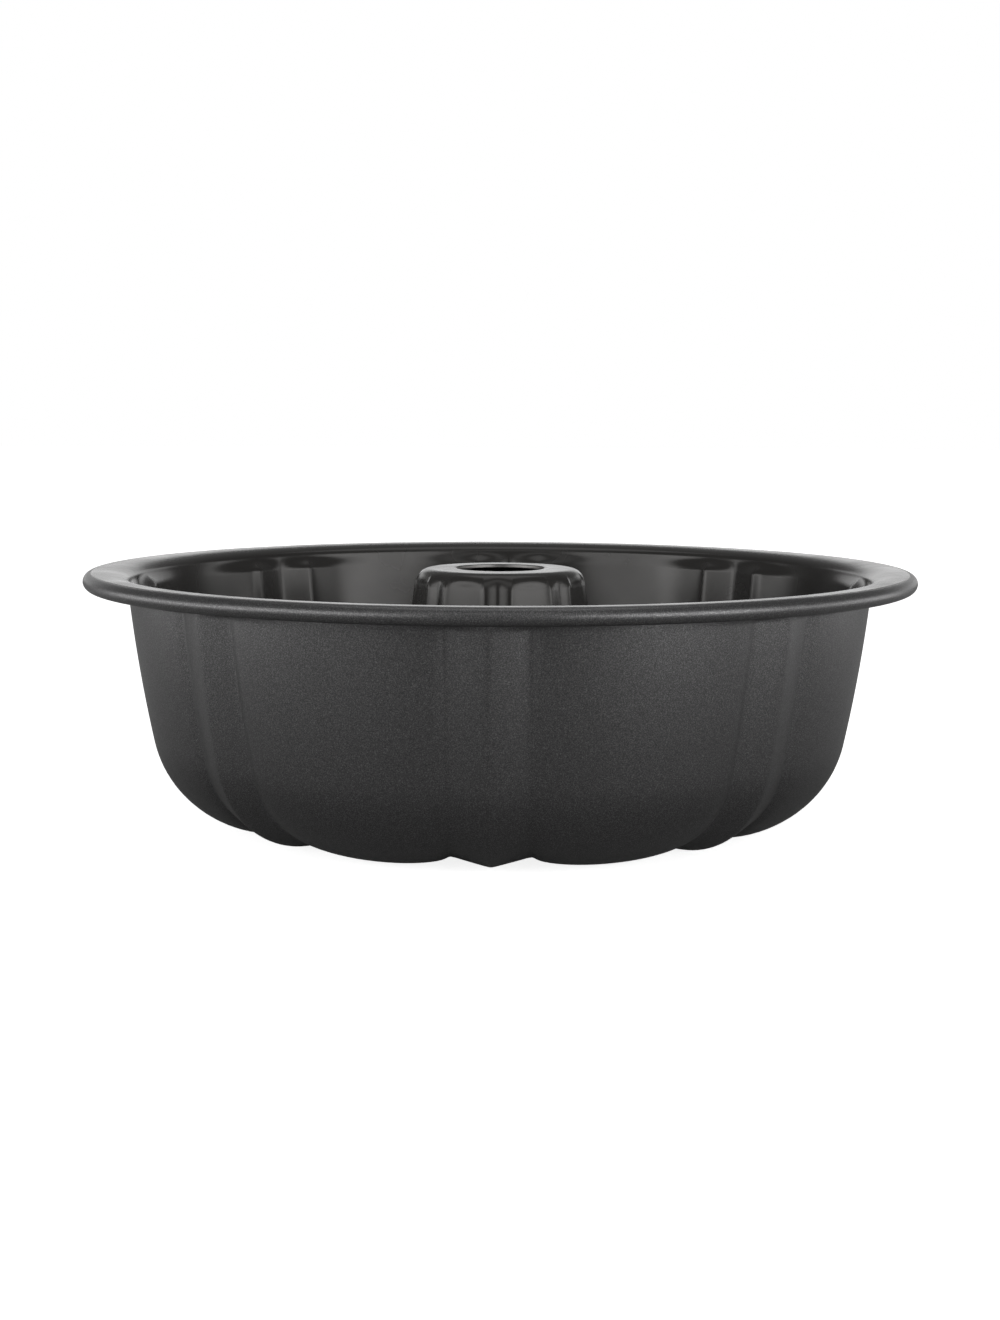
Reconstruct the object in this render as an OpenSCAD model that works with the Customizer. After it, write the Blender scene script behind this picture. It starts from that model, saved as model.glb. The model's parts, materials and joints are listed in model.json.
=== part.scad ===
// Fluted ring cake pan: two steel pressings joined by a lock seam, a wire in the rolled rim, and a
// coat on each face of each pressing. A narrow rib faces the front, towards -Y.

/* [Overall size] */
// Outer diameter of the rolled rim
rim_d = 250; // [240:1:260]
// Height from the table to the top of the rim and of the centre tube
pan_h = 75.4; // [72:0.2:80]

/* [Sheet, coats and wire] */
// Thickness of the steel sheet
sheet_t = 0.7; // [0.6:0.05:0.8]
// Thickness of each coat, drawn about twice as thick as real so that it stays a sound solid
coat_t = 0.1; // [0.08:0.01:0.12]
// Diameter of the wire in the rim
wire_d = 3; // [2.6:0.1:3.2]
// Clearance between the wire and the rolled sheet
wire_gap = 0.1; // [0.05:0.05:0.2]

/* [Body] */
// Radius of the ring that the pan stands on
stand_r = 74.2; // [72:0.1:76]
// Radius of the rounded corner between floor and wall
corner_r = 31.5; // [30:0.5:33]
// Lean of the wall where it leaves the corner, in degrees from upright
wall_lean = 11.6; // [11:0.1:13]
// Radius of the wall's slight belly, seen from the side
belly_r = 440; // [400:10:600]
// How far the floor rises from the standing ring to the seam, flutes aside
floor_rise = 4; // [3:0.5:6]
// Width of the round lip between wall and rim, seen from the side
lip_w = 7.5; // [6:0.5:9]
// Height of the round collar and lip above the flutes
collar_h = 4; // [3.6:0.2:6]
// Where the collar lies between the folds' level, at 0, and the lobes' level, at 1
collar_share = 1; // [0:0.05:1]

/* [Centre tube] */
// Diameter of the hole in the tube's flat top
hole_d = 27; // [24:1:30]
// Height of the tube's round shoulder above its flutes
shoulder_h = 5.5; // [5:0.1:6.5]
// Lean of the tube's wall in degrees from upright
tube_lean = 8; // [7:0.5:8.5]
// Radius where the tube's foot meets the seam
foot_r = 45.15; // [45:0.05:46]
// Radius of the curve at the tube's foot
foot_curve_r = 12; // [11:0.5:13]

/* [Flutes] */
// Number of narrow ribs, and of wide lobes between them
flutes = 8; // [6:1:10]
// Depth of the folds between ribs and lobes on the body
body_flute_d = 3; // [2.4:0.1:3.2]
// Width of a rib on the body
body_rib_w = 23; // [20:1:26]
// Depth of the folds on the tube
tube_flute_d = 1.3; // [1:0.1:1.6]
// Width of a rib on the tube
tube_rib_w = 8.4; // [7:0.2:10]

/* [Hidden] */
$fn = 96;

// Layers as distances from the sheet's middle, counted towards the side that holds the cake
half_t = sheet_t / 2;
skin_t = half_t + coat_t;
STEEL = [-half_t, half_t];
RELEASE = [half_t, skin_t];
OUTER = [-skin_t, -half_t];

// Round rim
bead_r = wire_d / 2 + wire_gap + half_t;
bead_c = [rim_d / 2 - bead_r - skin_t, pan_h - bead_r - skin_t];
curl_end = -205;
collar_z = pan_h - collar_h;
join_h = 0.3;
// How far a fluted layer's end ring stands past the round layer it meets, so that they join cleanly
join_lap = 0.04;

// Lock seam: four layers of sheet, one sheet_t apart, under the floor's flat land
land_z = skin_t + floor_rise + body_flute_d;
land_in = 51.8;
land_out = 54.5;
land_join = 53;
seam_gap = 0.05;
seam_w = 3.4;
seam_in = foot_r + 3 * sheet_t + seam_gap;
seam_out = seam_in + seam_w;
fold_gap = 0.1;

// Centre tube
foot_z = land_z + foot_curve_r + join_h;
shoulder_z = pan_h - shoulder_h;
shoulder_r = shoulder_h - skin_t - join_h;

// Rows of facets: radii on the floor, angles round the corner, drops below the collar, and heights
// above the tube's foot and below its shoulder
FLOOR_R = [61, 67.5];
CORNER_A = [0, 20, 40, 60, 90 - wall_lean];
WALL_DROP = [22, 9, 3.2];
TUBE_RISE = [5, 10];
TUBE_DROP = [18, 3];
// Depth of the tube's flutes on the first row above its foot, as a share of the full depth
foot_share = 0.6;

// Places around one rib and one lobe: up to 1 either side is the rib, from 1 to 2 is the lobe
BODY_STEPS = [-1.77, -1.53, -1.3, -1.08, -1, -0.5, 0, 0.5, 1, 1.08, 1.3, 1.53, 1.77, 2];
TUBE_STEPS = [-1.75, -1.5, -1.25, -1, -0.5, 0, 0.5, 1, 1.25, 1.5, 1.75, 2];

function arc(c, r, from, to, n) =
    [for (i = [0:n]) let (a = from + (to - from) * i / n) c + r * [cos(a), sin(a)]];
function ease(x) = (1 - cos(180 * x)) / 2;

// The body from floor to collar, as rows of [radius, height, lean of the outward normal, flute depth]
function corner_row(a) = [stand_r + corner_r * sin(a), skin_t + corner_r * (1 - cos(a)), a, 1];
wall_c = [stand_r, skin_t + corner_r]
    - (belly_r - corner_r) * [cos(wall_lean), -sin(wall_lean)];
function wall_row(z, lean, depth) =
    [wall_c.x + sqrt(belly_r ^ 2 - (wall_c.y - z) ^ 2), z, lean, depth];
function wall_angle(z) = 90 - asin((wall_c.y - z) / belly_r);
function floor_row(r) =
    let (x = (stand_r - r) / (stand_r - land_out), rise = floor_rise * 90 / (stand_r - land_out))
    [r, skin_t + floor_rise * ease(x), -atan(rise * PI / 180 * sin(180 * x)), ease(1 - x)];
BODY_ROWS = concat(
    [[land_in, skin_t + floor_rise, 0, 0], [land_out, skin_t + floor_rise, 0, 0]],
    [for (r = FLOOR_R) floor_row(r)],
    [for (a = CORNER_A) corner_row(a)],
    [for (drop = WALL_DROP) let (z = collar_z - drop) wall_row(z, wall_angle(z), 1)],
    [wall_row(collar_z, 90, 0) + [collar_share * body_flute_d, 0, 0, 0]]);
collar_r = BODY_ROWS[len(BODY_ROWS) - 1][0] - body_flute_d;

// The tube from foot to shoulder, in the same form
function tube_ridge_r(z) = foot_r - foot_curve_r - (z - foot_z) * tan(tube_lean);
function tube_row(z, lean, depth) = [tube_ridge_r(z) - tube_flute_d, z, lean, depth];
function tube_wall(z, depth) = tube_row(z, tube_lean - 90, depth);
TUBE_ROWS = concat(
    [tube_row(foot_z, -90, 0)],
    [for (i = [0:len(TUBE_RISE) - 1]) tube_wall(foot_z + TUBE_RISE[i], i == 0 ? foot_share : 1)],
    [for (drop = TUBE_DROP) tube_wall(shoulder_z - drop, 1)],
    [tube_row(shoulder_z, -90, 0)]);

// Height of the flutes above the fold between them, from 0 to 1
function flute_height(step) =
    let (s = abs(step)) s <= 1 ? 1 - s : sqrt(1 - (2 - s) ^ 2);
function step_angle(step, r, rib_w) =
    let (pitch = 180 / flutes, rib = rib_w / 2 / r * 180 / PI, s = abs(step))
    sign(step) * (s <= 1 ? s * rib : rib + (s - 1) * (pitch - rib));
function sheet_point(row, turn, step, offset, flute_d, rib_w) =
    let (q = flute_d * (row[3] * flute_height(step) - 1) - offset,
         r = row[0] + sin(row[2]) * q,
         a = turn + step_angle(step, row[0], rib_w))
    [r * sin(a), -r * cos(a), row[1] - cos(row[2]) * q];

// One layer of fluted sheet: a closed band round the axis between two offsets
module fluted(rows, steps, layer, flute_d, rib_w) {
    n_row = len(rows);
    n_col = len(steps) * flutes;
    middle = (layer[0] + layer[1]) / 2;
    points = [for (offset = layer, row = rows, k = [0:flutes - 1], step = steps)
        let (lap = abs(row[2]) == 90 ? join_lap * sign(offset - middle) : 0)
        sheet_point(row, k * 360 / flutes, step, offset + lap, flute_d, rib_w)];
    function at(side, i, j) = (side * n_row + i) * n_col + j % n_col;
    inward = rows[0][2] == -90;
    walls = [for (i = [0:n_row - 2], j = [0:n_col - 1])
        each [[at(0, i, j), at(0, i + 1, j), at(0, i + 1, j + 1)],
              [at(0, i, j), at(0, i + 1, j + 1), at(0, i, j + 1)],
              [at(1, i, j), at(1, i + 1, j + 1), at(1, i + 1, j)],
              [at(1, i, j), at(1, i, j + 1), at(1, i + 1, j + 1)]]];
    ends = [for (j = [0:n_col - 1])
        each [[at(0, 0, j), at(0, 0, j + 1), at(1, 0, j + 1)],
              [at(0, 0, j), at(1, 0, j + 1), at(1, 0, j)],
              [at(0, n_row - 1, j), at(1, n_row - 1, j + 1), at(0, n_row - 1, j + 1)],
              [at(0, n_row - 1, j), at(1, n_row - 1, j), at(1, n_row - 1, j + 1)]]];
    faces = concat(walls, ends);
    polyhedron(points, inward ? [for (f = faces) [f[0], f[2], f[1]]] : faces);
}

// One layer of round sheet: a path's band between two offsets, turned round the axis
function unit(v) = v / norm(v);
function left_of(a, b) = let (d = unit(b - a)) [-d.y, d.x];
function miter(path, i) =
    let (last = len(path) - 1,
         before = left_of(path[max(i - 1, 0)], path[max(i, 1)]),
         after = left_of(path[min(i, last - 1)], path[min(i + 1, last)]))
    (before + after) / (1 + before * after);
function shifted(path, offset) = [for (i = [0:len(path) - 1]) path[i] + offset * miter(path, i)];
module turned(path, layer) {
    back = shifted(path, layer[1]);
    rotate_extrude()
        polygon(concat(shifted(path, layer[0]), [for (i = [len(back) - 1:-1:0]) back[i]]));
}

// Paths of the sheet's middle, with the side that holds the cake on the left
lip_h = pan_h - skin_t - collar_z - join_h;
LIP = concat(
    [[collar_r, collar_z]],
    [for (i = [0:8]) let (a = 90 * i / 8)
        [collar_r + lip_w * (1 - cos(a)), collar_z + join_h + lip_h * sin(a)]]);
CURL = arc(bead_c, bead_r, 90, curl_end, 24);
LAND = concat(arc([seam_in, land_z - sheet_t], sheet_t, 135, 90, 3), [[land_join, land_z]]);
BODY_HOOK = concat(
    [[seam_out - fold_gap, land_z - 2 * sheet_t]],
    arc([seam_in, land_z - sheet_t], sheet_t, 270, 90, 8),
    [[land_join, land_z]]);
TUBE_TOP = concat(
    [[hole_d / 2, pan_h - skin_t]],
    arc([tube_ridge_r(shoulder_z) - shoulder_r, shoulder_z + join_h], shoulder_r, 90, 0, 8),
    [[tube_ridge_r(shoulder_z), shoulder_z]]);
FOOT = concat(
    [[foot_r - foot_curve_r, foot_z]],
    arc([foot_r, foot_z - join_h], foot_curve_r, 180, 270, 12),
    arc([foot_r, land_z - sheet_t], sheet_t, 80, 45, 3));
TUBE_HOOK = concat(
    [for (i = [0:len(FOOT) - 2]) FOOT[i]],
    arc([foot_r, land_z - sheet_t], sheet_t, 45, 0, 3),
    arc([foot_r + 2 * sheet_t, land_z - 2 * sheet_t], sheet_t, 180, 270, 4),
    arc([seam_out, land_z - 2 * sheet_t], sheet_t, -90, 40, 5));
FOLD_BACK = concat(
    arc([seam_out, land_z - 2 * sheet_t], sheet_t, 60, 90, 1),
    [[seam_in + fold_gap, land_z - sheet_t]]);

module body_layer(layer) fluted(BODY_ROWS, BODY_STEPS, layer, body_flute_d, body_rib_w);
module tube_layer(layer) fluted(TUBE_ROWS, TUBE_STEPS, layer, tube_flute_d, tube_rib_w);

// Outer pressing: ring-shaped fluted bowl, rolled round the wire at its rim
module pan_body() {
    color("dimgray") {
        body_layer(STEEL);
        turned(concat(LIP, CURL), STEEL);
        turned(BODY_HOOK, STEEL);
    }
}

// Inner pressing: fluted tube with a pierced flat top, folded into the body's seam at its foot
module centre_tube() {
    color("gray") {
        tube_layer(STEEL);
        turned(TUBE_TOP, STEEL);
        turned(concat(TUBE_HOOK, FOLD_BACK), STEEL);
    }
}

// Wire ring that stiffens the rim
module rim_wire() {
    color("silver")
        rotate_extrude() translate(bead_c) circle(d = wire_d);
}

// Glossy coat on the cake side of the body, as far as the top of the rim
module body_release_coat() {
    color([0.12, 0.12, 0.12]) {
        body_layer(RELEASE);
        turned(concat(LIP, [CURL[0]]), RELEASE);
        turned(LAND, RELEASE);
    }
}

// Satin coat under the body and its lip, and round the outside of the rolled rim
module body_outer_coat() {
    color([0.25, 0.25, 0.26]) {
        body_layer(OUTER);
        turned(concat(LIP, [[bead_c.x - bead_r, pan_h - skin_t]]), OUTER);
        turned(CURL, RELEASE);
        turned([[seam_out + 1.5 * sheet_t, land_z], [land_join, land_z]], OUTER);
    }
}

// Glossy coat on the cake side of the tube
module tube_release_coat() {
    color([0.12, 0.12, 0.12]) {
        tube_layer(RELEASE);
        turned(TUBE_TOP, RELEASE);
        turned(FOOT, RELEASE);
    }
}

// Satin coat inside the hollow of the tube and under the seam
module tube_outer_coat() {
    color([0.25, 0.25, 0.26]) {
        tube_layer(OUTER);
        turned(TUBE_TOP, OUTER);
        turned(TUBE_HOOK, OUTER);
    }
}

pan_body();
centre_tube();
rim_wire();
body_release_coat();
body_outer_coat();
tube_release_coat();
tube_outer_coat();
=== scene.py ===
"""Looks of the fluted ring cake pan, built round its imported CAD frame.

Every pressing and coat is a closed shell turned round the pan's axis, over a section through the
sheet in millimetres as [radius, height]. The flutes move the sheet off that section, and outwards or
under, away from the cake, is positive.
"""

import json
import math

import bpy
import numpy as np
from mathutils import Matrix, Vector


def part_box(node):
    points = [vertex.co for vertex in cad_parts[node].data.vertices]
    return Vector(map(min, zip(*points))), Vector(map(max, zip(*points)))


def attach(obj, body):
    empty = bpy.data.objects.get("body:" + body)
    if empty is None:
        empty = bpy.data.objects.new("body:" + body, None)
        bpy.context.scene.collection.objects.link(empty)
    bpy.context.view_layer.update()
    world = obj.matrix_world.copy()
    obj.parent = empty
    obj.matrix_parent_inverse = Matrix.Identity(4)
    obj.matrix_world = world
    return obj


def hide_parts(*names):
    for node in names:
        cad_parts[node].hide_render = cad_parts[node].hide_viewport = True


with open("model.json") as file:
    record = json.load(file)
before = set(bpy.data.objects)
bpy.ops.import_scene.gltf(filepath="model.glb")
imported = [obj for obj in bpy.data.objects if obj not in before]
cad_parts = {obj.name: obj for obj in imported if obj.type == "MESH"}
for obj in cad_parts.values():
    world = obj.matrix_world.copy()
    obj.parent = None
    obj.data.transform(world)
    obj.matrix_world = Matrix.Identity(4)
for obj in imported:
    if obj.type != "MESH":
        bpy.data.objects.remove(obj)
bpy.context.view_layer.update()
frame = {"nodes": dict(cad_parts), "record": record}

MM = 0.001
RIM_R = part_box("body_outer_coat")[1].x / MM
TOP_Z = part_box("tube_release_coat")[1].z / MM
WIRE_R = (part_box("rim_wire")[1].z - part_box("rim_wire")[0].z) / 2 / MM
MOUNTS = {m["name"]: m for m in frame["record"]["mounts"]}
HOLE_R = MOUNTS["tube_hole"]["dims"]["r_mm"]

# Layers as distances from the sheet's middle, counted towards the side that holds the cake
HALF_SHEET = 0.35
SKIN = 0.45
STEEL = (-HALF_SHEET, HALF_SHEET)
RELEASE = (HALF_SHEET, SKIN)
OUTER = (-SKIN, -HALF_SHEET)
SHEET = 2 * HALF_SHEET

# Body
STAND_R = 74.2
CORNER_R = 31.5
WALL_LEAN = math.radians(11.6)
BELLY_R = 440.0
FLOOR_RISE = 4.0
COLLAR_Z = TOP_Z - 3
KNEE_DROP = 9.0
LIP_W = 7.5
BEAD_R = WIRE_R + 0.1 + HALF_SHEET
BEAD_C = np.array([RIM_R - BEAD_R - SKIN, TOP_Z - BEAD_R - SKIN])
CURL_END = math.radians(-205)

# Centre tube
FOOT_R = 45.15
FOOT_CURVE_R = 12.0
TUBE_LEAN = math.radians(8)
SHOULDER_H = 5.5
KNEE_SHARE = 0.12

# Flutes: 8 ribs and 8 lobes. depth is the folds' depth between them, and soft rounds folds and crests.
# level is where the round sheet that the flutes run out into lies, from 0 at the folds to 1 at the
# lobes. They run out over a length of fade, and arch is the radius of the arched tops beside each fold.
# The tube's also run out towards its foot, over FOOT_FADE, and end FOOT_END_H above the floor's land
FLUTES = 8
BODY_FLUTE = dict(depth=3.0, rib_w=23.0, level=1.0, soft=0.6, arch=0.0, fade=4.6)
TUBE_FLUTE = dict(depth=1.3, rib_w=8.4, level=0.0, soft=0.5, arch=1.0, fade=4.4)
TUBE_FLUTE_TOP = TOP_Z - 0.2 * SHOULDER_H
FOOT_FADE = 16.0
FOOT_END_H = 6.0

# Floor and lock seam
LAND_Z = SKIN + FLOOR_RISE + BODY_FLUTE["depth"]
LAND_OUT = 54.5
SEAM_IN = FOOT_R + 3 * SHEET + 0.05
SEAM_OUT = SEAM_IN + 3.4
FOLD_GAP = 0.1


# Sections

def ease(x):
    x = np.clip(x, 0, 1)
    return (1 - np.cos(np.pi * x)) / 2


def arc(centre, radius, start, end, n):
    a = np.linspace(start, end, n + 1)
    return np.array(centre) + np.stack([radius * np.cos(a), radius * np.sin(a)], 1)


def line(a, b, n):
    return np.array(a) + np.linspace(0, 1, n + 1)[:, None] * (np.array(b) - np.array(a))


def joined(*parts):
    """One path from several, without the points that two parts share."""
    path = [parts[0]]
    for part in parts[1:]:
        same = np.linalg.norm(part[0] - path[-1][-1]) < 1e-6
        path.append(part[1:] if same else part)
    return np.concatenate(path)


def normals(path):
    """Unit normals on the right of a path, which is the side away from the cake."""
    steps = np.diff(path, axis=0)
    steps /= np.linalg.norm(steps, axis=1)[:, None]
    along = np.concatenate([steps[:1], steps[:-1] + steps[1:], steps[-1:]])
    along /= np.linalg.norm(along, axis=1)[:, None]
    return np.stack([along[:, 1], -along[:, 0]], 1)


def body_section():
    """The middle of the body's sheet, from its fold in the seam to the end of the rim's curl. Its wall
    lies at the collar's level. The rows are closer together above the knee, where the flutes run out."""
    depth = BODY_FLUTE["depth"]
    inset = depth * (1 - BODY_FLUTE["level"])
    hook = joined(
        line([SEAM_OUT - FOLD_GAP, LAND_Z - 2 * SHEET], [SEAM_IN, LAND_Z - 2 * SHEET], 3),
        arc([SEAM_IN, LAND_Z - SHEET], SHEET, math.radians(270), math.radians(90), 10),
        line([SEAM_IN, LAND_Z], [LAND_OUT, LAND_Z], 6),
    )
    r = np.linspace(LAND_OUT, STAND_R, 17)
    rise = (FLOOR_RISE + depth - inset) * ease((STAND_R - r) / (STAND_R - LAND_OUT))
    floor = np.stack([r, SKIN + inset + rise], 1)
    corner_c = np.array([STAND_R, SKIN + CORNER_R])
    lean = math.pi / 2 - WALL_LEAN
    corner = arc(corner_c, CORNER_R - inset, -math.pi / 2, lean - math.pi / 2, 24)
    belly_c = corner_c - (BELLY_R - CORNER_R) * np.array([math.cos(WALL_LEAN), -math.sin(WALL_LEAN)])
    top = math.asin((COLLAR_Z - belly_c[1]) / (BELLY_R - inset))
    knee = math.asin((COLLAR_Z - KNEE_DROP - belly_c[1]) / (BELLY_R - inset))
    wall = joined(
        arc(belly_c, BELLY_R - inset, -WALL_LEAN, knee, 14), arc(belly_c, BELLY_R - inset, knee, top, 22)
    )
    lip_h = TOP_Z - SKIN - COLLAR_Z
    start = math.atan(math.tan(-top) * lip_h / LIP_W)
    a = np.linspace(start, math.pi / 2, 17)
    lip = np.stack([-LIP_W * np.cos(a), lip_h / (1 - math.sin(start)) * np.sin(a)], 1)
    lip += wall[-1] - lip[0]
    curl = arc(BEAD_C, BEAD_R, math.pi / 2, CURL_END, 38)
    flat = line(lip[-1], curl[0], 4)
    return joined(hook, floor, corner, wall, lip, flat, curl)


def tube_section():
    """The middle of the tube's sheet, from the edge of its hole to its fold in the seam. Its wall lies
    at the level of the ridges. The rows are closer together above the knee, where the flutes run out."""
    foot_top = LAND_Z + FOOT_CURVE_R
    shoulder_z = TOP_Z - SHOULDER_H
    shoulder_r = SHOULDER_H - SKIN
    ridge_r = FOOT_R - FOOT_CURVE_R - (shoulder_z - foot_top) * math.tan(TUBE_LEAN)
    shoulder = arc([ridge_r - shoulder_r, shoulder_z], shoulder_r, math.pi / 2, TUBE_LEAN, 18)
    foot_c = [FOOT_R, foot_top]
    foot = arc(foot_c, FOOT_CURVE_R, math.pi + TUBE_LEAN, 1.5 * math.pi, 16)
    knee = shoulder[-1] + KNEE_SHARE * (foot[0] - shoulder[-1])
    return joined(
        line([HOLE_R, TOP_Z - SKIN], shoulder[0], 5),
        shoulder,
        line(shoulder[-1], knee, 16),
        line(knee, foot[0], 14),
        foot,
        arc([FOOT_R, LAND_Z - SHEET], SHEET, math.pi / 2, 0, 6),
        arc([FOOT_R + 2 * SHEET, LAND_Z - 2 * SHEET], SHEET, math.pi, 1.5 * math.pi, 6),
        arc([SEAM_OUT, LAND_Z - 2 * SHEET], SHEET, -math.pi / 2, math.pi / 2, 10),
        line([SEAM_OUT, LAND_Z - SHEET], [SEAM_IN + FOLD_GAP, LAND_Z - SHEET], 3),
    )


# Flutes

def flute_columns():
    """Places from one rib's crest to the next: 0 is the crest, 1 the fold beside it and 2 the middle of
    the lobe. The negative ones mirror these from there on, so -1 is the fold before the next rib."""
    rib = (1 - np.cos(np.pi * np.arange(9) / 8)) / 2
    lobe = 1 + (np.arange(1, 13) / 12) ** 1.7
    half = np.concatenate([rib, lobe])
    return np.concatenate([half, -half[1:-1][::-1]])


COLUMNS = flute_columns()


def flute_row(r, rib_w, soft, arch):
    """For one radius: the columns' angles, the flutes' height there from 0 at a fold to 1, and how far
    below the highest one each column's top lies, in millimetres."""
    half = math.pi / FLUTES
    rib = rib_w / 2 / r
    u = np.linspace(0, half, 400)
    lobe = np.clip((u - rib) / (half - rib), 0, 1)
    height = np.where(u < rib, 1 - u / rib, np.sqrt(1 - (1 - lobe) ** 2))
    step = (u[1] - u[0]) * r
    beside = np.arange(-int(4 * soft / step), int(4 * soft / step) + 1)
    kernel = np.exp(-0.5 * (beside * step / soft) ** 2)
    height = np.convolve(np.pad(height, len(beside) // 2, "reflect"), kernel / kernel.sum(), "valid")
    size = np.abs(COLUMNS)
    angle = np.where(size < 1, size * rib, rib + (size - 1) * (half - rib))
    from_fold = np.clip(np.abs(angle - rib) * r, 0, arch)
    drop = arch - np.sqrt(arch**2 - (arch - from_fold) ** 2)
    turn = np.where(COLUMNS < 0, 2 * half - angle, angle)
    return turn, np.interp(angle, u, height), drop


def fluted_grid(section, flute, from_top, shares):
    """The whole ring's angles, and how far the sheet swells from the section in millimetres, with one
    row for each of the section's points. from_top is how far along the section a point is from the
    flutes' tops, and shares is the part of their full depth that they have there."""
    angles, swell = [], []
    for (r, _), left, share in zip(section, from_top, shares):
        turn, height, drop = flute_row(r, flute["rib_w"], flute["soft"], flute["arch"])
        fade = ease((left - drop) / flute["fade"])
        angles.append(np.concatenate([turn + k * 2 * math.pi / FLUTES for k in range(FLUTES)]))
        swell.append(np.tile(flute["depth"] * (height - flute["level"]) * fade * share, FLUTES))
    return np.array(angles), np.array(swell)


def lengths(path):
    return np.concatenate([[0], np.cumsum(np.linalg.norm(np.diff(path, axis=0), axis=1))])


def length_at(path, z, where):
    """Length along a path to its point nearest to height z, of the points that where allows."""
    off = np.where(where, np.abs(path[:, 1] - z), np.inf)
    return lengths(path)[np.argmin(off)]


def body_grid():
    r = BODY[:, 0]
    from_top = length_at(BODY, COLLAR_Z, r >= STAND_R) - lengths(BODY)
    shares = np.where(r < STAND_R, ease((r - LAND_OUT) / (STAND_R - LAND_OUT)), 1.0)
    return fluted_grid(BODY, BODY_FLUTE, from_top, shares)


def tube_grid():
    wall = TUBE[:, 0] <= FOOT_R
    from_top = lengths(TUBE) - length_at(TUBE, TUBE_FLUTE_TOP, wall)
    foot_end = length_at(TUBE, LAND_Z + FOOT_END_H, wall)
    return fluted_grid(TUBE, TUBE_FLUTE, from_top, ease((foot_end - lengths(TUBE)) / FOOT_FADE))


BODY = body_section()
TUBE = tube_section()
BODY_GRID = body_grid()
TUBE_GRID = tube_grid()


# Meshes

def surface(section, grid, offset, rows):
    """Points in metres of one face of a layer, one row for each point of the section in rows."""
    angle, swell = grid[0][rows], grid[1][rows]
    away = normals(section)[rows][:, None, :]
    flat = section[rows][:, None, :] + away * (swell - offset)[:, :, None]
    x, y = flat[..., 0] * np.sin(angle), -flat[..., 0] * np.cos(angle)
    return np.stack([x, y, flat[..., 1]], -1) * MM


def shell_mesh(name, layers):
    """A mesh of closed shells. Each layer is (section, grid, offsets, rows): its two faces and two edges."""
    points, quads, kinds = [], [], []
    start = 0
    for section, grid, offsets, rows in layers:
        sides = [surface(section, grid, offset, rows) for offset in offsets]
        n_row, n_col = sides[0].shape[:2]
        index = start + np.arange(2 * n_row * n_col).reshape(2, n_row, n_col)
        after = np.roll(index, -1, axis=2)
        away, cake = index
        away_n, cake_n = after
        for near, near_n, flip, kind in ((away, away_n, False, 0), (cake, cake_n, True, 1)):
            face = np.stack([near[:-1], near_n[:-1], near_n[1:], near[1:]], -1).reshape(-1, 4)
            quads.append(face[:, ::-1] if flip else face)
            kinds.append(np.full(len(face), kind))
        for end, flip in ((0, True), (-1, False)):
            face = np.stack([away[end], away_n[end], cake_n[end], cake[end]], -1)
            quads.append(face[:, ::-1] if flip else face)
            kinds.append(np.full(len(face), 2))
        points += [s.reshape(-1, 3) for s in sides]
        start += 2 * n_row * n_col
    points, quads = np.concatenate(points), np.concatenate(quads)
    mesh = bpy.data.meshes.new(name)
    mesh.vertices.add(len(points))
    mesh.vertices.foreach_set("co", points.ravel())
    mesh.loops.add(quads.size)
    mesh.loops.foreach_set("vertex_index", quads.ravel())
    mesh.polygons.add(len(quads))
    mesh.polygons.foreach_set("loop_start", np.arange(0, quads.size, 4))
    mesh.polygons.foreach_set("use_smooth", np.concatenate(kinds) < 2)
    mesh.update(calc_edges=True)
    mesh.validate()
    return mesh


def piece(name, layers, material, node):
    """A piece of the object that stands for one CAD node."""
    mesh = shell_mesh(name, layers)
    mesh.materials.append(material)
    obj = bpy.data.objects.new(name, mesh)
    bpy.context.scene.collection.objects.link(obj)
    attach(obj, "root")
    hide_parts(node)


# Materials

def new_material(name, base, metallic, roughness):
    material = bpy.data.materials.new(name)
    material.use_nodes = True
    shader = material.node_tree.nodes["Principled BSDF"]
    shader.inputs["Base Color"].default_value = (*base, 1)
    shader.inputs["Metallic"].default_value = metallic
    shader.inputs["Roughness"].default_value = roughness
    return material, material.node_tree, shader


def add(tree, kind, **values):
    """A node with its inputs set by name. A name that is no input sets the node's own property."""
    node = tree.nodes.new(kind)
    for key, value in values.items():
        if key in node.inputs:
            node.inputs[key].default_value = value
        else:
            setattr(node, key, value)
    return node


def noise(tree, scale, detail):
    where = tree.nodes.get("Place") or add(tree, "ShaderNodeTexCoord", name="Place")
    node = add(tree, "ShaderNodeTexNoise", Scale=scale, Detail=detail)
    tree.links.new(where.outputs["Object"], node.inputs["Vector"])
    return node.outputs["Fac"]


def ramp(tree, value, stops):
    """A colour ramp. The first two stops are its ends, and any more lie between them."""
    node = add(tree, "ShaderNodeValToRGB")
    elements = node.color_ramp.elements
    for element, (at, colour) in zip(elements, stops):
        element.position = at
        element.color = (*colour, 1)
    for at, colour in stops[2:]:
        elements.new(at).color = (*colour, 1)
    tree.links.new(value, node.inputs["Fac"])
    return node.outputs["Color"]


def mapped(tree, value, low, high, to_low, to_high):
    names = {"From Min": low, "From Max": high, "To Min": to_low, "To Max": to_high}
    node = add(tree, "ShaderNodeMapRange", **names)
    tree.links.new(value, node.inputs["Value"])
    return node.outputs["Result"]


def bump(tree, shader, value, strength, distance):
    node = add(tree, "ShaderNodeBump", Strength=strength, Distance=distance)
    tree.links.new(value, node.inputs["Height"])
    tree.links.new(node.outputs["Normal"], shader.inputs["Normal"])


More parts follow.
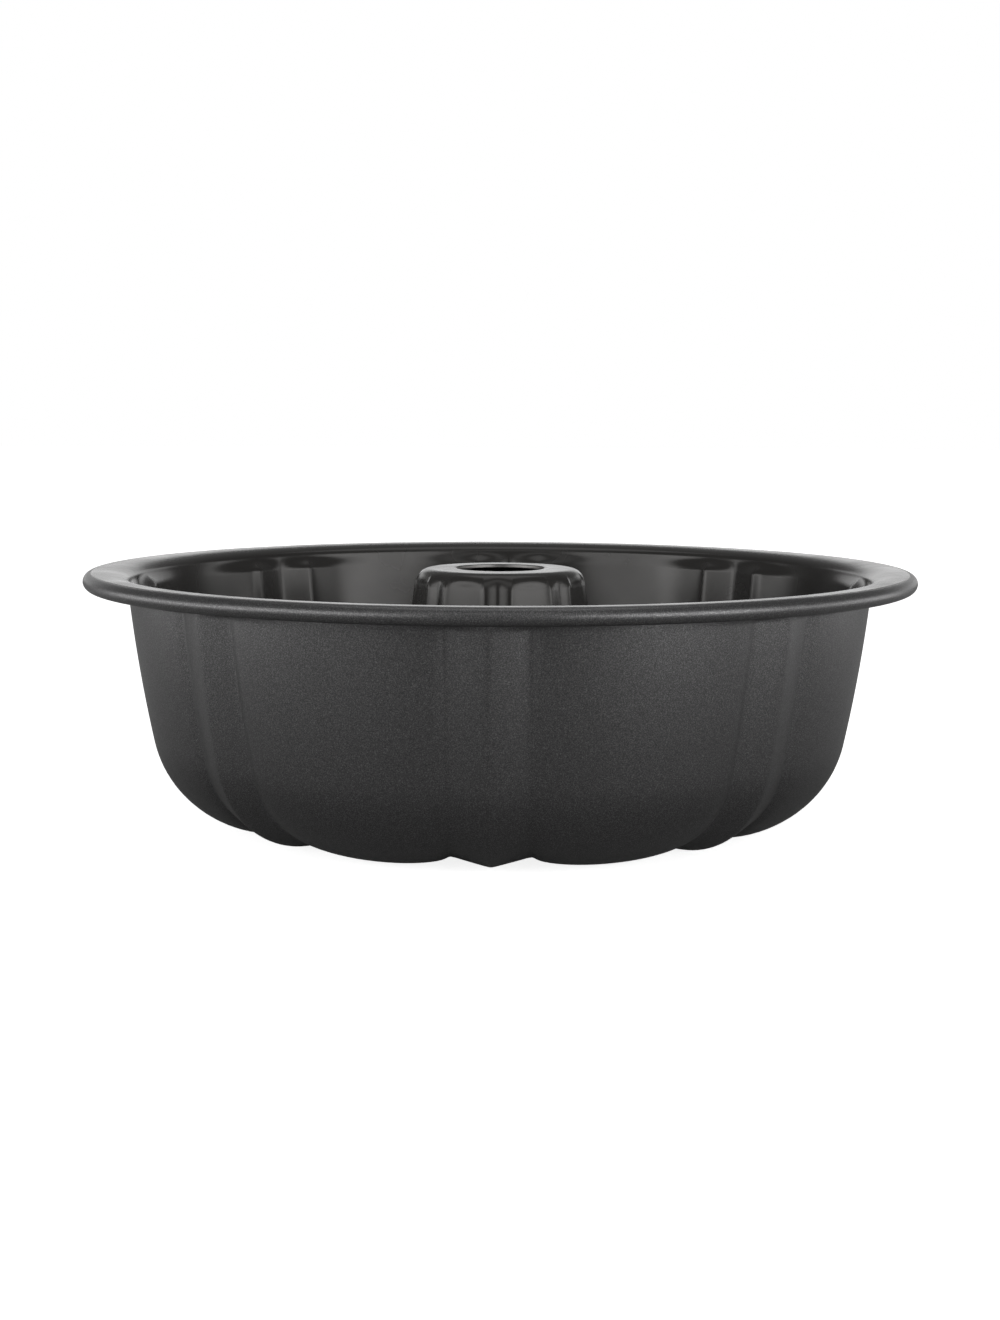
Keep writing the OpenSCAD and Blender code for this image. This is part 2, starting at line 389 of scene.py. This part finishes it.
def outer_coat():
    """Satin charcoal with a fine metallic fleck and an eggshell grain."""
    material, tree, shader = new_material("outer_coat", (0.11, 0.11, 0.112), 0.85, 0.38)
    fleck = noise(tree, 3600, 1)
    colour = ramp(tree, fleck, [(0.34, (0.075, 0.074, 0.075)), (0.7, (0.19, 0.188, 0.19)),
                                (0.55, (0.115, 0.114, 0.115))])
    tree.links.new(colour, shader.inputs["Base Color"])
    rough = mapped(tree, noise(tree, 2000, 1), 0.3, 0.7, 0.34, 0.42)
    tree.links.new(rough, shader.inputs["Roughness"])
    bump(tree, shader, noise(tree, 3000, 1), 0.3, 0.00002)
    return material


def release_coat():
    """Glossy near-black non-stick coat with a faint orange peel."""
    material, tree, shader = new_material("release_coat", (0.03, 0.0285, 0.027), 0.3, 0.25)
    rough = mapped(tree, noise(tree, 60, 3), 0.3, 0.7, 0.21, 0.28)
    tree.links.new(rough, shader.inputs["Roughness"])
    colour = ramp(tree, noise(tree, 25, 2), [(0.3, (0.028, 0.0265, 0.025)), (0.7, (0.037, 0.035, 0.033))])
    tree.links.new(colour, shader.inputs["Base Color"])
    bump(tree, shader, noise(tree, 420, 2), 0.1, 0.00004)
    return material


def steel(name, base, roughness):
    """Cold-rolled steel with a fine mottle."""
    material, tree, shader = new_material(name, base, 1.0, roughness)
    rough = mapped(tree, noise(tree, 300, 4), 0.3, 0.7, roughness - 0.08, roughness + 0.1)
    tree.links.new(rough, shader.inputs["Roughness"])
    colour = ramp(tree, noise(tree, 80, 3), [(0.3, [0.8 * c for c in base]), (0.7, base)])
    tree.links.new(colour, shader.inputs["Base Color"])
    bump(tree, shader, noise(tree, 700, 2), 0.1, 0.00003)
    return material


OUTER_COAT = outer_coat()
RELEASE_COAT = release_coat()
SHEET_STEEL = steel("sheet_steel", (0.4, 0.39, 0.38), 0.4)
WIRE_STEEL = steel("wire_steel", (0.5, 0.5, 0.5), 0.3)


# Pieces

def nearest(section, point):
    """Row of a section's point that is nearest to the given one."""
    return int(np.argmin(np.linalg.norm(section - np.array(point), axis=1)))


ALL = slice(None)
RIM_TOP = BEAD_C + [0, BEAD_R]
LIP_END = BEAD_C + [-BEAD_R, BEAD_R]
SEAM_TOP = np.array([SEAM_IN, LAND_Z])
FOOT_END = np.array([FOOT_R, LAND_Z])
PAST_SEAM = np.array([SEAM_OUT + 1.5 * SHEET, LAND_Z])
SEAM_SIDE = np.array([SEAM_OUT + SHEET, LAND_Z - 2 * SHEET])
whole_body = slice(nearest(BODY, SEAM_TOP), nearest(BODY, RIM_TOP) + 1)
under_body = slice(nearest(BODY, PAST_SEAM), nearest(BODY, LIP_END) + 1)
curl = slice(nearest(BODY, RIM_TOP), None)
tube_face = slice(0, nearest(TUBE, FOOT_END) + 1)
tube_under = slice(0, nearest(TUBE, SEAM_SIDE))

piece("body_sheet", [(BODY, BODY_GRID, STEEL, ALL)], SHEET_STEEL, "pan_body")
piece("tube_sheet", [(TUBE, TUBE_GRID, STEEL, ALL)], SHEET_STEEL, "centre_tube")
piece("body_inner_face", [(BODY, BODY_GRID, RELEASE, whole_body)], RELEASE_COAT,
      "body_release_coat")
piece("body_outer_face", [(BODY, BODY_GRID, OUTER, under_body), (BODY, BODY_GRID, RELEASE, curl)],
      OUTER_COAT, "body_outer_coat")
piece("tube_inner_face", [(TUBE, TUBE_GRID, RELEASE, tube_face)], RELEASE_COAT,
      "tube_release_coat")
piece("tube_outer_face", [(TUBE, TUBE_GRID, OUTER, tube_under)], OUTER_COAT,
      "tube_outer_coat")

wire = frame["nodes"]["rim_wire"]
wire.data.materials.clear()
wire.data.materials.append(WIRE_STEEL)


# Studio: FLOOR_GLOW is the light that the floor shows to the camera, and SURROUND the backdrop's light
# on the pan. Both are shares of white. What the floor throws back is painted shade: its colour is darker
# under the pan and lightens outwards.
# The softboxes face a point AIM_Z above the floor
FLOOR_GLOW = 0.85
FLOOR_BOUNCE = dict(low=0.13, high=0.35, to_low=0.36, to_high=0.56)
FLOOR_HALF = 6.0
SURROUND = 0.21
AIM_Z = 0.04

# Azimuth and elevation in degrees, then distance, width and height in metres, and glow
SOFTBOXES = {
    "back_box": (180, 9, 1.6, 2.6, 0.5, 1.0),
    "front_left_box": (-48, 12, 1.2, 1.1, 0.55, 2.45),
    "front_right_box": (46, 12, 1.2, 1.1, 0.55, 2.45),
    "left_card": (-88, 4, 0.6, 0.55, 0.2, 2.4),
    "right_card": (52, 4, 0.6, 0.4, 0.2, 1.6),
    "far_right_card": (100, 4, 0.6, 0.5, 0.2, 2.0),
    "front_top_box": (0, 45, 1.2, 1.0, 0.5, 0.6),
    "top_box": (180, 80, 1.1, 0.8, 0.8, 0.8),
}


def seen_or_bounced(tree, seen, bounced):
    """A shader that is one thing to the camera and another to the light that falls on the pan."""
    path = add(tree, "ShaderNodeLightPath")
    mix = add(tree, "ShaderNodeMixShader")
    tree.links.new(path.outputs["Is Camera Ray"], mix.inputs[0])
    tree.links.new(bounced.outputs[0], mix.inputs[1])
    tree.links.new(seen.outputs[0], mix.inputs[2])
    return mix.outputs[0]


def floor():
    mesh = bpy.data.meshes.new("studio_floor")
    corners = [(x * FLOOR_HALF, y * FLOOR_HALF, 0) for x, y in ((-1, -1), (1, -1), (1, 1), (-1, 1))]
    mesh.from_pydata(corners, [], [(0, 1, 2, 3)])
    material, tree, shader = new_material("floor", (0.9, 0.9, 0.9), 0.0, 0.8)
    place = add(tree, "ShaderNodeTexCoord")
    reach = add(tree, "ShaderNodeVectorMath", operation="LENGTH")
    tree.links.new(place.outputs["Object"], reach.inputs[0])
    # Painted shade: the floor's colour for light thrown back onto the pan is darker near the pan and lighter
    # further out
    dim = add(tree, "ShaderNodeBsdfDiffuse")
    tree.links.new(mapped(tree, reach.outputs["Value"], **FLOOR_BOUNCE), dim.inputs["Color"])
    bright = add(tree, "ShaderNodeEmission", Color=(1, 1, 1, 1), Strength=FLOOR_GLOW)
    both = add(tree, "ShaderNodeAddShader")
    tree.links.new(shader.outputs[0], both.inputs[0])
    tree.links.new(bright.outputs[0], both.inputs[1])
    out = tree.nodes["Material Output"]
    tree.links.new(seen_or_bounced(tree, both, dim), out.inputs["Surface"])
    mesh.materials.append(material)
    obj = bpy.data.objects.new("studio_floor", mesh)
    bpy.context.scene.collection.objects.link(obj)


def softbox(name, azimuth, elevation, distance, width, height, glow):
    """A panel that faces the pan. azimuth is counted from the front towards the right, and glow is how
    bright the panel looks, where 1 is the backdrop's white."""
    light = bpy.data.lights.new(name, "AREA")
    light.shape = "RECTANGLE"
    light.size, light.size_y = width, height
    light.energy = glow * math.pi * width * height
    obj = bpy.data.objects.new(name, light)
    turn, rise = math.radians(azimuth), math.radians(elevation)
    away = Vector((math.sin(turn) * math.cos(rise), -math.cos(turn) * math.cos(rise), math.sin(rise)))
    obj.location = Vector((0, 0, AIM_Z)) + distance * away
    obj.rotation_mode = "QUATERNION"
    obj.rotation_quaternion = away.to_track_quat("Z", "Y")
    obj.visible_camera = False
    bpy.context.scene.collection.objects.link(obj)


def studio():
    world = bpy.data.worlds.new("studio")
    world.use_nodes = True
    tree = world.node_tree
    backdrop = tree.nodes["Background"]
    backdrop.inputs["Strength"].default_value = 1.0
    backdrop.inputs["Color"].default_value = (1, 1, 1, 1)
    around = add(tree, "ShaderNodeBackground", Color=(1, 1, 1, 1), Strength=SURROUND)
    out = tree.nodes["World Output"]
    tree.links.new(seen_or_bounced(tree, backdrop, around), out.inputs["Surface"])
    bpy.context.scene.world = world
    floor()
    for name, values in SOFTBOXES.items():
        softbox(name, *values)


def camera():
    """The camera looks at the pan from a little above its rim, with a rib just left of the middle."""
    turn = math.radians(1.6)
    distance, height = 0.6, 0.0498
    pitch, roll = math.radians(7.2), math.radians(0.2)
    data = bpy.data.cameras.new("camera")
    data.lens = 53.66
    data.sensor_width = 36
    data.clip_start = 0.01
    obj = bpy.data.objects.new("camera", data)
    obj.location = (
        distance * math.sin(turn), -distance * math.cos(turn), BEAD_C[1] * MM + height
    )
    obj.rotation_mode = "XYZ"
    view = Matrix.Rotation(turn, 4, "Z") @ Matrix.Rotation(math.pi / 2 - pitch, 4, "X")
    obj.rotation_euler = (view @ Matrix.Rotation(roll, 4, "Z")).to_euler()
    bpy.context.scene.collection.objects.link(obj)
    bpy.context.scene.camera = obj


studio()
camera()
bpy.context.scene.view_settings.view_transform = "Standard"
